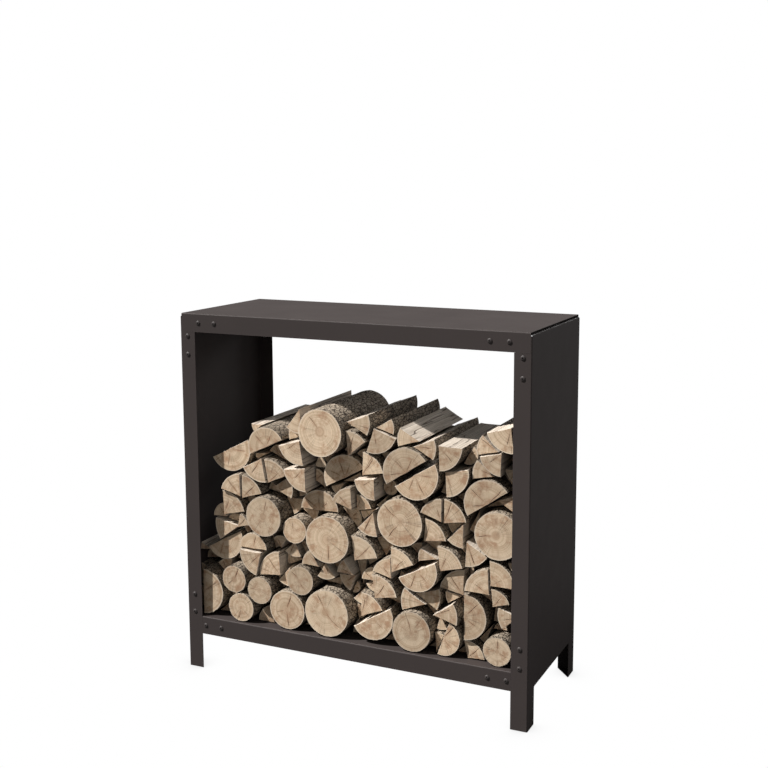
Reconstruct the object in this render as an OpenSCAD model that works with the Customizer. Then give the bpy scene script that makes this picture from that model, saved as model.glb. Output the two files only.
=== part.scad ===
// Firewood log rack: a folded-sheet frame on four short legs, loaded with short split logs.
// Origin at the middle of the footprint on the ground. X is the width, Y the depth with the
// open front at -Y, Z is up. Every size is in millimetres.

/* [Rack] */
// Overall width over the two side panels
rack_w = 1000; // [700:10:1400]
// Overall depth from the front face to the rear face
rack_d = 400; // [250:10:600]
// Overall height from the ground to the top face
rack_h = 1000; // [700:10:1600]
// Thickness of the folded steel sheet
sheet_t = 1.5; // [1:0.5:3]
// Outer radius of every fold
fold_r = 3; // [2:0.5:5]

/* [Posts and rails] */
// Height of the legs below the lower rail
leg_h = 100; // [60:5:160]
// Height of the front and rear rails of the shelf and of the top
rail_h = 50; // [35:1:70]
// Width of the post flanges folded in from the side panels
post_w = 45; // [35:1:60]
// Depth of the leg strips left beside the notch in each side panel
leg_d = 50; // [35:1:70]
// How far the side panels stop below the top face
top_step = 6; // [4:1:12]
// How far the top panel stops inside the outer faces of the side panels
top_inset = 4; // [3:1:8]
// Width of the fold along the top of each side panel
top_fold_w = 18; // [12:1:30]

/* [Corner joints] */
// Thickness of the L-shaped corner plates
corner_t = 3; // [2:0.5:4]
// Thickness of the triangular foot plates
foot_t = 3; // [2:0.5:5]
// Nominal diameter of the screws
screw_d = 6; // [5:1:8]
// Diameter of the domed screw heads
head_d = 13; // [10:0.5:16]
// Height of the domed screw heads
head_h = 3.5; // [2:0.25:5]
// Distance from the inner corner of the frame to the first screw
screw_first = 12; // [8:1:20]
// Distance between the two screws on one limb
screw_pitch = 50; // [35:1:60]

/* [Firewood] */
// Length of every log
log_len = 300; // [200:10:400]
// Size of the stack against the bay that holds it
stack_fill = 1; // [0.7:0.05:1]

/* [Hidden] */

$fn = 64;
cut = 1;                 // how far a cutting solid runs past the face it cuts
seam = 0.4;              // hairline between two sheets that meet edge to edge
hole_clear = 0.6;        // added to the screw diameter for every screw hole
nut_clear = 0.2;         // added to the screw diameter for the bore of a nut
nut_af = screw_d * 10 / 6;     // an M6 nut is 10 across its flats
nut_h = screw_d * 5 / 6;       // and 5 high
thread_past = 3;         // how far a screw runs past its nut
socket_af = screw_d * 4 / 6;   // an M6 button head takes a 4 mm key
socket_depth = head_h * 0.55;
dome_fn = 120;
edge_gap = 3;            // the corner plates stop this far from the edges of the flanges
notch_r = 4;             // rounding in the two upper corners of each leg notch

half_w = rack_w / 2;
half_d = rack_d / 2;
shelf_z = leg_h + rail_h;
bay_h = rack_h - rail_h - shelf_z;
side_h = rack_h - top_step;
hole_d = screw_d + hole_clear;

// Screw places, as a distance along a limb from the outer corner of the frame
post_centre = post_w / 2;
rail_centre = rail_h / 2;
rail_places = [for (i = [0, 1]) post_w + screw_first + i * screw_pitch];
post_places = [for (i = [0, 1]) rail_h + screw_first + i * screw_pitch];
rail_limb = rail_places[1] + screw_first;
post_limb = post_places[1] + screw_first;

steel_brown = [0.24, 0.21, 0.20];
steel_black = [0.10, 0.10, 0.10];
zinc_grey = [0.62, 0.63, 0.65];
wood_pale = [0.80, 0.68, 0.52];

// Each log is a sector of a round: [x from the left outer face, height above the ground,
// radius, start angle, sweep, set back of its front end], drawn for a rack 1000 mm wide
// with its shelf at 150 mm. A sweep of 360 is a whole round and 180 a half.
stack_w = 1000;
stack_z = 150;
stack_h = 640;

course_01 = [
  [39, 217, 65, -90, 180, 16],
  [168, 192, 40, 0, 360, 8],
  [258, 152, 51, 91, 89, 34],
  [313, 206, 54, 0, 360, 10],
  [435, 217, 65, 0, 360, 6],
  [565, 224, 62, -150, 180, 14],
  [681, 206, 54, 0, 360, 8],
  [766, 200, 47, -110, 180, 16],
  [828, 152, 47, 2, 100, 30],
  [914, 190, 38, 0, 360, 12],
  [741.8, 152, 56, 66, 29, 30],
  [5.2, 185.2, 31, -90, 180, 56],
  [67.8, 152.8, 64, 0, 42, 54],
  [990.2, 152.8, 43, 84, 84, 58],
  [547.8, 152.8, 61, 138, 42, 60],
  [582.8, 152.8, 55, 0, 42, 54],
  [337.8, 152.8, 49, 0, 42, 56],
  [502.8, 217.8, 22, -84, 180, 56],
  [102.8, 242.8, 40, -78, 54, 54],
  [887.8, 242.8, 58, -132, 24, 56],
  [907.8, 230.2, 18, 0, 180, 56],
  [787.8, 152.8, 36, 0, 42, 56],
  [707.8, 152.8, 31, 0, 42, 60],
  [247.8, 207.8, 39, -174, 24, 58],
  [367.8, 227.8, 25, 72, 54, 54],
  [770.2, 217.8, 28, 72, 42, 56]];
course_02 = [
  [146, 269, 38, 0, 360, 10],
  [226, 247, 38, 0, 360, 12],
  [314.4, 322.9, 59, 228, 36, 30],
  [354, 294, 40, 0, 360, 10],
  [529.8, 218.4, 68, 21, 69, 22],
  [717, 280, 71, 149, 52, 20],
  [685, 303.5, 70, -33, 51, 26],
  [740, 259.5, 69, -17, 52, 10],
  [820, 263, 62, -90, 180, 22],
  [970, 284, 59, 160, 59, 20],
  [34, 291, 30, 10, 180, 90],
  [528.4, 289.4, 50, 225, 41, 50],
  [749.5, 252, 42, 252, 46, 40],
  [893, 305, 56, 263, 27, 60],
  [5.2, 250.2, 31, -90, 180, 58],
  [102.8, 250.2, 57, 84, 54, 60],
  [580.2, 270.2, 63, -18, 30, 58],
  [715.2, 252.8, 22, -48, 180, 58],
  [250.2, 287.8, 46, -60, 30, 60],
  [495.2, 285.2, 18, -114, 180, 54],
  [817.8, 260.2, 43, 90, 24, 54],
  [170.2, 307.8, 42, -60, 24, 56],
  [970.2, 280.2, 24, -24, 54, 60]];
course_03 = [
  [230, 352, 68, 177, 80, 16],
  [288.1, 295.9, 67, 93, 94, 20],
  [420, 347, 47, 238, 76, 30],
  [504.5, 320.5, 49, 182, 68, 44],
  [506, 326, 49, 125, 54, 26],
  [566.2, 315.2, 32, 197, 76, 40],
  [564.2, 316.4, 38, 93, 88, 34],
  [574, 277, 65, 9, 89, 14],
  [815, 312.9, 51, 173, 39, 36],
  [899, 302, 47, 14, 83, 18],
  [519, 291, 73, 81, 26, 60],
  [832.8, 330.2, 60, -30, 30, 54],
  [127.8, 312.8, 39, -6, 54, 58],
  [407.8, 287.8, 51, -6, 30, 54],
  [622.8, 322.8, 25, -42, 120, 58],
  [50.2, 325.2, 45, 156, 30, 58],
  [380.2, 332.8, 24, -54, 54, 58]];
course_04 = [
  [94.5, 368.9, 60, -152, 180, 44],
  [149, 412.5, 79, 169, 47, 38],
  [200, 358, 44, 0, 180, 24],
  [327.2, 393.6, 45, 222, 72, 34],
  [406.5, 335.5, 53, 119, 60, 22],
  [694, 370, 58, -153, 180, 12],
  [621, 335, 56, 93, 74, 18],
  [818, 316, 68, 89, 81, 28],
  [892, 333, 68, 93, 87, 14],
  [892.9, 355.9, 65, -1, 94, 16],
  [278, 364, 36, 57, 80, 44],
  [342.8, 337.8, 54, 162, 42, 56],
  [417.8, 352.8, 40, -42, 42, 54],
  [582.8, 380.2, 52, -168, 24, 56],
  [822.8, 350.2, 42, 66, 24, 58],
  [910.2, 352.8, 34, -30, 30, 60]];
course_05 = [
  [102.2, 431.8, 40, 93, 91, 44],
  [104, 441, 70, 13, 80, 30],
  [150.8, 412.4, 40, 14, 65, 24],
  [338, 430, 36, 0, 360, 12],
  [439, 419, 64, 0, 360, 6],
  [514, 370, 68, 11, 88, 16],
  [622, 353, 69, 24, 68, 14],
  [747, 401.5, 55, 151, 42, 26],
  [754.2, 372.6, 66, 14, 83, 20],
  [826.5, 460.5, 66, -94, 65, 22],
  [970, 424, 35, 186, 80, 26],
  [587.8, 382.8, 52, 54, 66, 54],
  [980.2, 420.2, 63, -108, 30, 60],
  [332.8, 387.8, 34, -66, 84, 54],
  [687.8, 390.2, 40, 84, 54, 56],
  [200.2, 420.2, 52, -168, 30, 60],
  [315.2, 392.8, 39, 120, 42, 54],
  [237.8, 397.8, 43, -72, 30, 58],
  [505.2, 400.2, 34, -120, 42, 56]];
course_06 = [
  [245, 458, 55, 0, 360, 6],
  [400, 485, 57, 0, 180, 40],
  [566.4, 505.4, 67, 226, 55, 24],
  [644, 488, 64, 0, 360, 18],
  [707.4, 444.2, 63, 7, 79, 26],
  [817, 504.5, 66, 226, 44, 28],
  [912, 487, 62, 0, 360, 14],
  [992.8, 480.2, 58, -132, 42, 54],
  [337.8, 482.8, 52, -42, 42, 54],
  [692.8, 435.2, 51, -30, 42, 60],
  [185.2, 437.8, 58, 84, 30, 58],
  [125.2, 420.2, 22, -12, 180, 54],
  [777.8, 442.8, 45, -42, 30, 60]];
course_07 = [
  [164, 501, 64, 90, 76, 22],
  [165.8, 495.4, 67, 16, 74, 26],
  [257, 534.5, 65, -24, 58, 36],
  [505.6, 502.2, 62, 92, 70, 22],
  [508, 496, 45, 12, 80, 44],
  [760, 502, 62, 89, 73, 20],
  [761.8, 498.4, 65, 8, 80, 24],
  [905, 573, 63, -33, 54, 30],
  [591.5, 543.7, 44, 221, 32, 60],
  [848.2, 537, 65, 243, 27, 60],
  [600, 565, 21, 0, 360, 60],
  [482.8, 470.2, 34, -48, 180, 58],
  [287.8, 505.2, 52, -66, 66, 60],
  [992.8, 535.2, 30, 90, 180, 56],
  [322.8, 555.2, 45, -84, 54, 58],
  [807.8, 500.2, 48, -174, 42, 58],
  [290.2, 507.8, 61, 144, 24, 60],
  [562.8, 505.2, 51, -168, 30, 56],
  [977.8, 490.2, 15, -96, 180, 54]];
course_08 = [
  [123.5, 628.9, 65, -153, 180, 40],
  [235.4, 616.4, 68, 207, 75, 18],
  [251.8, 548.3, 66, 23, 77, 22],
  [373, 604, 65, 187, 86, 10],
  [476.5, 581.5, 64, 28, 180, 42],
  [576, 597, 58, 187, 85, 10],
  [534.4, 599.2, 63, 9, 79, 24],
  [688, 618.8, 66, -148, 180, 14],
  [769.8, 634.2, 65, -87, 99, 18],
  [883, 562, 64, 34, 180, 20],
  [392, 645, 48, 249, 48, 60],
  [377.8, 560.2, 33, -30, 120, 60],
  [460.2, 567.8, 58, 0, 30, 60],
  [765.2, 622.8, 57, -114, 30, 56],
  [467.8, 565.2, 45, -162, 42, 58],
  [562.8, 527.8, 58, 138, 24, 54],
  [785.2, 565.2, 31, -36, 66, 58],
  [970.2, 585.2, 22, -90, 120, 54],
  [862.8, 542.8, 49, 12, 24, 58],
  [662.8, 552.8, 40, 144, 30, 58],
  [675.2, 550.2, 33, -42, 42, 60],
  [582.8, 582.8, 21, 24, 84, 56]];
course_09 = [
  [246, 645, 56, 25, 180, 26],
  [357, 676, 67, 195, 86, 12],
  [494.6, 645.1, 69, 40, 56, 22],
  [571.6, 727.4, 67, -110, 92, 18],
  [666.5, 622, 66, 33, 180, 10],
  [683, 690.8, 64, -29, 52, 16],
  [753.6, 701.2, 66, -88, 88, 12],
  [901, 633.5, 62, 140, 52, 26],
  [921.5, 697, 60, 193, 75, 14],
  [962.2, 656.2, 40, 183, 92, 36],
  [270.2, 615.2, 34, -24, 180, 56],
  [817.8, 675.2, 27, -120, 180, 56],
  [967.8, 617.8, 27, -90, 180, 58],
  [532.8, 622.8, 39, 90, 54, 60],
  [910.2, 632.8, 55, -48, 24, 60],
  [597.8, 622.8, 39, 84, 42, 56],
  [435.2, 637.8, 33, -180, 54, 60],
  [237.8, 622.8, 48, -174, 24, 60],
  [360.2, 672.8, 42, -78, 30, 58],
  [340.2, 605.2, 34, 150, 42, 60],
  [487.8, 682.8, 34, -126, 42, 54]];
course_10 = [
  [348.5, 759, 69, 231, 45, 30],
  [421, 704, 64, 0, 360, 6],
  [496, 739, 68, -29, 50, 14],
  [575, 729, 53, -17, 48, 24],
  [700, 705, 63, 150, 48, 20],
  [909, 696.5, 58, 134, 59, 24],
  [945, 763, 66, 195, 84, 14],
  [930.2, 672.8, 64, -24, 66, 54],
  [350.2, 680.2, 52, 156, 42, 56],
  [952.8, 740.2, 33, -84, 84, 60],
  [535.2, 712.8, 49, 150, 24, 56],
  [220.2, 700.2, 36, -180, 42, 54]];

// The stack grows and shrinks as a whole with the bay that holds it
stack_scale = stack_fill * min(rack_w / stack_w, bay_h / (stack_h + stack_z));

// The logs keep clear of the corner plates at the front and at the rear: a shallow rack, or
// long logs, first bring the set backs down and then the length
deepest_back = 90;
end_clear = sheet_t + corner_t + 1;
length_fit = min(log_len, rack_d - 2 * end_clear);
back_fit = min(1, (rack_d - end_clear - length_fit) / deepest_back);

// ---------- sheet profiles ----------

// A quarter ring with its centre at the origin, filling the quadrant of -X and -Y
module fold_ring() {
  intersection() {
    difference() {
      circle(r = fold_r);
      circle(r = fold_r - sheet_t);
    }
    translate([-fold_r, -fold_r]) square(fold_r);
  }
}

// Two limbs that meet in a rounded fold, with the outer corner at the origin
module angle_profile(limb_x, limb_y) {
  translate([fold_r, fold_r]) fold_ring();
  translate([fold_r, 0]) square([limb_x - fold_r, sheet_t]);
  translate([0, fold_r]) square([sheet_t, limb_y - fold_r]);
}

// A tray section: a web of the given width with a limb folded at each end
module channel_profile(web, limb) {
  angle_profile(web / 2, limb);
  translate([web, 0]) mirror([1, 0]) angle_profile(web / 2, limb);
}

// ---------- places ----------

// Repeats its children at a corner of the rack: the parent's shape is drawn for the
// front left, and sides of +1 turn it to the right or to the rear
module at_corner(side_x, side_y) {
  mirror([side_x > 0 ? 1 : 0, 0, 0]) mirror([0, side_y > 0 ? 1 : 0, 0])
    translate([-half_w, -half_d, 0]) children();
}

// Puts its children at the outer corner of a frame corner, seen from the front: X runs in
// along the rail and Y runs away from the rail along the post
module at_frame_corner(top) {
  if (top) translate([0, 0, rack_h]) rotate([90, 0, 0]) mirror([0, 1, 0]) children();
  else translate([0, 0, leg_h]) rotate([90, 0, 0]) children();
}

// Repeats its children at the four screws of one frame corner, in the plane of its face
module at_screws() {
  for (place = rail_places) translate([place, rail_centre]) children();
  for (place = post_places) translate([post_centre, place]) children();
}

// Cuts through everything at the sixteen places of one face pair
module screw_holes(top) {
  for (side_x = [-1, 1], side_y = [-1, 1])
    at_corner(side_x, side_y) at_frame_corner(top) translate([0, 0, -fold_r * 2 - corner_t])
      linear_extrude(fold_r * 2 + corner_t + cut) at_screws() circle(d = hole_d);
}

// ---------- rack ----------

// A tray lying under its plate, with a rail folded down along the front and the rear
module tray(length) {
  rotate([90, 0, 90]) translate([0, 0, -length / 2]) linear_extrude(length)
    translate([-half_d, 0]) mirror([0, 1]) channel_profile(rack_d, rail_h);
}

module top_panel() {
  color(steel_brown) difference() {
    translate([0, 0, rack_h]) tray(rack_w - 2 * top_inset);
    screw_holes(true);
  }
}

module shelf_panel() {
  ear_y = half_d - sheet_t - corner_t - seam;
  ear_x = half_w - sheet_t - seam;
  color(steel_brown) difference() {
    union() {
      translate([0, 0, shelf_z]) tray(rack_w - 2 * (post_w + seam));
      translate([-ear_x, -ear_y, shelf_z - sheet_t]) cube([2 * ear_x, 2 * ear_y, sheet_t]);
    }
    screw_holes(false);
  }
}

// The left side: a web with a post folded in at the front and at the rear, a narrow fold
// along its top, and a notch that leaves two legs
module left_side() {
  web_top = side_h - fold_r;
  notch_w = rack_d - 2 * leg_d;
  difference() {
    union() {
      translate([-half_w, half_d, 0]) rotate([0, 0, -90]) linear_extrude(web_top)
        channel_profile(rack_d, post_w);
      translate([-half_w, half_d - 2 * fold_r, side_h]) rotate([90, 0, 0])
        linear_extrude(rack_d - 4 * fold_r) mirror([0, 1]) angle_profile(top_fold_w, 2 * fold_r);
    }
    post_top = rack_h - rail_h - seam;
    translate([-half_w + top_inset - seam, -half_d - cut, post_top])
      cube([post_w, fold_r + 2 * cut, rail_h]);
    translate([-half_w + top_inset - seam, half_d - fold_r - cut, post_top])
      cube([post_w, fold_r + 2 * cut, rail_h]);
    translate([-half_w - cut, 0, 0]) rotate([90, 0, 90]) linear_extrude(fold_r + 2 * cut)
      leg_notch(notch_w);
    screw_holes(true);
    screw_holes(false);
  }
}

// The outline of the opening between two legs, rounded at its two upper corners
module leg_notch(width) {
  translate([-width / 2, -cut]) square([width, leg_h + cut - notch_r]);
  translate([-width / 2 + notch_r, 0]) square([width - 2 * notch_r, leg_h]);
  for (side = [-1, 1]) translate([side * (width / 2 - notch_r), leg_h - notch_r]) circle(r = notch_r);
}

module left_side_panel() {
  color(steel_brown) left_side();
}

module right_side_panel() {
  color(steel_brown) mirror([1, 0, 0]) left_side();
}

// ---------- joints ----------

// An L-shaped plate behind the flanges of one corner of the frame
module corner_plate(side_x, side_y, top) {
  inner = fold_r + seam;
  rail_far = rail_h - edge_gap;
  post_far = post_w - edge_gap;
  color(steel_black) at_corner(side_x, side_y) at_frame_corner(top)
    translate([0, 0, -sheet_t - corner_t]) linear_extrude(corner_t) difference() {
      union() {
        translate([top ? top_inset : inner, inner]) square([rail_limb - inner, rail_far - inner]);
        translate([top ? top_inset : inner, inner]) square([post_far - inner, post_limb - inner]);
      }
      at_screws() circle(d = hole_d);
    }
}

// A triangular plate that closes the foot of one leg
module foot_plate(side_x, side_y) {
  inner = sheet_t;
  color(steel_black) at_corner(side_x, side_y) linear_extrude(foot_t) difference() {
    polygon([[inner, inner], [post_w, inner], [inner, leg_d]]);
    translate([inner - seam, inner - seam]) square(fold_r - inner + seam);
  }
}

// The profile of a domed head on its shank, drawn from the axis outwards
module screw_profile(shank) {
  dome_r = (pow(head_d / 2, 2) + pow(head_h, 2)) / (2 * head_h);
  intersection() {
    translate([0, head_h - dome_r]) circle(r = dome_r, $fn = dome_fn);
    square([head_d / 2, head_h]);
  }
  translate([0, -shank]) square([screw_d / 2, shank + cut]);
}

module screw() {
  shank = sheet_t + corner_t + nut_h + thread_past;
  difference() {
    rotate_extrude() screw_profile(shank);
    translate([0, 0, head_h - socket_depth])
      cylinder(d = socket_af / cos(30), h = socket_depth + cut, $fn = 6);
  }
}

module screws(side_x, side_y, top) {
  color(steel_black) at_corner(side_x, side_y) at_frame_corner(top) at_screws() screw();
}

module nuts(side_x, side_y, top) {
  color(zinc_grey) at_corner(side_x, side_y) at_frame_corner(top) at_screws()
    translate([0, 0, -sheet_t - corner_t - nut_h]) difference() {
      cylinder(d = nut_af / cos(30), h = nut_h, $fn = 6);
      translate([0, 0, -cut]) cylinder(d = screw_d + nut_clear, h = nut_h + 2 * cut);
    }
}

// ---------- firewood ----------

// The end of one log: a round, or the sector of a round that the axe left
module log_end(radius, start, sweep) {
  if (sweep == 360) circle(r = radius);
  else if (sweep == 180) intersection() {
    circle(r = radius);
    rotate(start) translate([-radius, 0]) square([2 * radius, radius]);
  }
  else intersection() {
    circle(r = radius);
    rotate(start)
      polygon([[0, 0], for (turn = [0, sweep / 2, sweep]) 2 * radius * [cos(turn), sin(turn)]]);
  }
}

module log_course(course) {
  color(wood_pale) for (log = course)
    translate([(log[0] - stack_w / 2) * stack_scale, max(end_clear, log[5] * back_fit) - half_d,
      shelf_z + (log[1] - stack_z) * stack_scale])
      rotate([90, 0, 0]) translate([0, 0, -length_fit]) linear_extrude(length_fit)
        log_end(log[2] * stack_scale, log[3], log[4]);
}

module corner_plate_front_top_left() { corner_plate(-1, -1, true); }
module corner_plate_front_top_right() { corner_plate(1, -1, true); }
module corner_plate_front_bottom_left() { corner_plate(-1, -1, false); }
module corner_plate_front_bottom_right() { corner_plate(1, -1, false); }
module corner_plate_rear_top_left() { corner_plate(-1, 1, true); }
module corner_plate_rear_top_right() { corner_plate(1, 1, true); }
module corner_plate_rear_bottom_left() { corner_plate(-1, 1, false); }
module corner_plate_rear_bottom_right() { corner_plate(1, 1, false); }
module foot_plate_front_left() { foot_plate(-1, -1); }
module foot_plate_front_right() { foot_plate(1, -1); }
module foot_plate_rear_left() { foot_plate(-1, 1); }
module foot_plate_rear_right() { foot_plate(1, 1); }
module screws_front_top_left() { screws(-1, -1, true); }
module screws_front_top_right() { screws(1, -1, true); }
module screws_front_bottom_left() { screws(-1, -1, false); }
module screws_front_bottom_right() { screws(1, -1, false); }
module screws_rear_top_left() { screws(-1, 1, true); }
module screws_rear_top_right() { screws(1, 1, true); }
module screws_rear_bottom_left() { screws(-1, 1, false); }
module screws_rear_bottom_right() { screws(1, 1, false); }
module nuts_front_top_left() { nuts(-1, -1, true); }
module nuts_front_top_right() { nuts(1, -1, true); }
module nuts_front_bottom_left() { nuts(-1, -1, false); }
module nuts_front_bottom_right() { nuts(1, -1, false); }
module nuts_rear_top_left() { nuts(-1, 1, true); }
module nuts_rear_top_right() { nuts(1, 1, true); }
module nuts_rear_bottom_left() { nuts(-1, 1, false); }
module nuts_rear_bottom_right() { nuts(1, 1, false); }
module log_course_01() { log_course(course_01); }
module log_course_02() { log_course(course_02); }
module log_course_03() { log_course(course_03); }
module log_course_04() { log_course(course_04); }
module log_course_05() { log_course(course_05); }
module log_course_06() { log_course(course_06); }
module log_course_07() { log_course(course_07); }
module log_course_08() { log_course(course_08); }
module log_course_09() { log_course(course_09); }
module log_course_10() { log_course(course_10); }

top_panel();
shelf_panel();
left_side_panel();
right_side_panel();
corner_plate_front_top_left();
corner_plate_front_top_right();
corner_plate_front_bottom_left();
corner_plate_front_bottom_right();
corner_plate_rear_top_left();
corner_plate_rear_top_right();
corner_plate_rear_bottom_left();
corner_plate_rear_bottom_right();
foot_plate_front_left();
foot_plate_front_right();
foot_plate_rear_left();
foot_plate_rear_right();
screws_front_top_left();
screws_front_top_right();
screws_front_bottom_left();
screws_front_bottom_right();
screws_rear_top_left();
screws_rear_top_right();
screws_rear_bottom_left();
screws_rear_bottom_right();
nuts_front_top_left();
nuts_front_top_right();
nuts_front_bottom_left();
nuts_front_bottom_right();
nuts_rear_top_left();
nuts_rear_top_right();
nuts_rear_bottom_left();
nuts_rear_bottom_right();
log_course_01();
log_course_02();
log_course_03();
log_course_04();
log_course_05();
log_course_06();
log_course_07();
log_course_08();
log_course_09();
log_course_10();
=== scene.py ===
"""Firewood log rack of folded, powder-coated sheet steel, loaded with short split logs.

The frame holds every true size. Each class below reads its place from the frame, builds the
detailed pieces of one sub-assembly, and dresses them in its finishes. Lengths are in metres,
X is the width, Y runs from the open front to the rear, and Z is up.
"""

import itertools
import logging
import math
from dataclasses import dataclass, field
from enum import Enum, IntEnum

import bmesh
import bpy
import numpy as np
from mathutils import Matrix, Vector


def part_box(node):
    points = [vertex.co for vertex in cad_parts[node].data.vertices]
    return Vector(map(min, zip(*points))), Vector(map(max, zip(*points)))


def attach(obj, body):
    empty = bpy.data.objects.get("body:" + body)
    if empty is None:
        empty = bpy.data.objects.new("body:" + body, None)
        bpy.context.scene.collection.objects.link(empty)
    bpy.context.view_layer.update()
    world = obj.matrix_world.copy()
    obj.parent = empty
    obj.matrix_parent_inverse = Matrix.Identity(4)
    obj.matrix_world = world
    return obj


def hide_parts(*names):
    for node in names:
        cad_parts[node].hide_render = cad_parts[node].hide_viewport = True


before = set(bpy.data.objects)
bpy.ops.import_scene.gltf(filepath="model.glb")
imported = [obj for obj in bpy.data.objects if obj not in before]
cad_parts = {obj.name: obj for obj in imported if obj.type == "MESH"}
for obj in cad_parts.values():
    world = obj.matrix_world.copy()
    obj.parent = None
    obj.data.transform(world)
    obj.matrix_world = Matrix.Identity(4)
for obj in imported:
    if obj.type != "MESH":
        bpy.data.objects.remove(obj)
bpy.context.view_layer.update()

LOG = logging.getLogger("log_rack")
MM = 0.001
TURN = 2 * math.pi

Colour = tuple[float, float, float]
Socket = bpy.types.NodeSocket


# ---------------------------------------------------------------------------
# Benches: short words for putting nodes on a tree
# ---------------------------------------------------------------------------


class Bench:
    """Puts nodes on a node tree and wires them."""

    def __init__(self, tree: bpy.types.NodeTree) -> None:
        """Starts on a tree.

        Args:
            tree: The shader or geometry tree to work on.
        """
        self.tree = tree

    def wire(self, value: object, socket: Socket) -> None:
        """Links a socket to a socket, or sets a plain value on it.

        Args:
            value: A socket or a plain value.
            socket: The input that takes it.
        """
        if isinstance(value, bpy.types.NodeSocket):
            self.tree.links.new(value, socket)
        elif value is not None:
            socket.default_value = value

    def put(self, kind: str, inputs: dict | None = None, **settings: object) -> bpy.types.Node:
        """Adds a node.

        Args:
            kind: The node's type name.
            inputs: Values or sockets by input name or number.
            **settings: The node's own settings.

        Returns:
            The new node.
        """
        node = self.tree.nodes.new(kind)
        for name, value in settings.items():
            setattr(node, name, value)
        for name, value in (inputs or {}).items():
            self.wire(value, node.inputs[name])
        return node

    def math(self, operation: str, a: object, b: object = None, c: object = None) -> Socket:
        """Adds a Math node.

        Args:
            operation: ADD, MULTIPLY and so on.
            a: First value.
            b: Second value, where the operation has one.
            c: Third value, where the operation has one.

        Returns:
            The result's socket.
        """
        node = self.put("ShaderNodeMath", operation=operation)
        for place, value in enumerate((a, b, c)):
            self.wire(value, node.inputs[place])
        return node.outputs[0]

    def plus(self, a: object, b: object) -> Socket:
        """Adds two values."""
        return self.math("ADD", a, b)

    def times(self, a: object, b: object) -> Socket:
        """Multiplies two values."""
        return self.math("MULTIPLY", a, b)

    def vector(self, operation: str, a: object, b: object = None, scale: object = None) -> Socket:
        """Adds a Vector Math node.

        Args:
            operation: ADD, MULTIPLY, SCALE, LENGTH and so on.
            a: First vector.
            b: Second vector, where the operation has one.
            scale: The factor of SCALE.

        Returns:
            The result's socket, a number for LENGTH and a vector otherwise.
        """
        node = self.put("ShaderNodeVectorMath", operation=operation)
        self.wire(a, node.inputs[0])
        self.wire(b, node.inputs[1])
        if scale is not None:
            self.wire(scale, node.inputs["Scale"])
        return node.outputs["Value" if operation in ("LENGTH", "DOT_PRODUCT") else "Vector"]

    def span(self, value: Socket, low: float, high: float, to_low: float = 0.0,
             to_high: float = 1.0) -> Socket:
        """Maps a value smoothly from one span to another and clamps it.

        Args:
            value: The value to map.
            low: Start of the span it comes from.
            high: End of that span.
            to_low: What low becomes.
            to_high: What high becomes.

        Returns:
            The mapped value.
        """
        node = self.put("ShaderNodeMapRange", interpolation_type="SMOOTHSTEP", clamp=True)
        for name, number in (("From Min", low), ("From Max", high), ("To Min", to_low), ("To Max", to_high)):
            node.inputs[name].default_value = number
        self.wire(value, node.inputs["Value"])
        return node.outputs["Result"]

    def mix(self, factor: object, a: object, b: object, blend: str = "MIX") -> Socket:
        """Mixes two colours.

        Args:
            factor: How much of the second shows.
            a: First colour.
            b: Second colour.
            blend: The blend type.

        Returns:
            The mixed colour.
        """
        node = self.put("ShaderNodeMix", data_type="RGBA", blend_type=blend, clamp_factor=True)
        self.wire(factor, node.inputs[0])
        for place, value in ((6, a), (7, b)):
            self.wire((*value, 1.0) if isinstance(value, tuple) else value, node.inputs[place])
        return node.outputs[2]

    def noise(self, place: Socket, scale: float, detail: float = 3.0, roughness: float = 0.55) -> Socket:
        """Adds a noise texture.

        Args:
            place: Where it is read, in metres.
            scale: Features for each metre.
            detail: Octaves.
            roughness: Weight of the finer octaves.

        Returns:
            The noise, between 0 and 1.
        """
        node = self.put("ShaderNodeTexNoise", {"Vector": place, "Scale": scale, "Detail": detail,
                                               "Roughness": roughness})
        return node.outputs[0]

    def stretch(self, place: Socket, factors: Colour) -> Socket:
        """Stretches coordinates with a Mapping node.

        Args:
            place: The coordinates.
            factors: The factor along each axis.

        Returns:
            The stretched coordinates.
        """
        return self.put("ShaderNodeMapping", {"Vector": place, "Scale": factors}).outputs[0]

    def attribute(self, name: str, kind: str = "Fac") -> Socket:
        """Reads one of a piece's own attributes.

        Args:
            name: The attribute.
            kind: Fac for a number, Vector for three.

        Returns:
            Its socket.
        """
        return self.put("ShaderNodeAttribute", attribute_name=name).outputs[kind]


def new_group(name: str, inputs: dict[str, tuple[str, object]], outputs: dict[str, str]) -> tuple[Bench,
                                                                                                  dict, dict]:
    """Starts a shader node group.

    Args:
        name: The group's name.
        inputs: Each input's socket type and default value, by name.
        outputs: Each output's socket type, by name.

    Returns:
        The bench on the group, its input sockets and its output sockets, by name.
    """
    tree = bpy.data.node_groups.new(name, "ShaderNodeTree")
    for label, (kind, value) in inputs.items():
        socket = tree.interface.new_socket(name=label, in_out="INPUT", socket_type=kind)
        socket.default_value = value
    for label, kind in outputs.items():
        tree.interface.new_socket(name=label, in_out="OUTPUT", socket_type=kind)
    bench = Bench(tree)
    entry, leave = bench.put("NodeGroupInput"), bench.put("NodeGroupOutput")
    return bench, {s.name: s for s in entry.outputs if s.name}, {s.name: s for s in leave.inputs if s.name}


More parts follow.
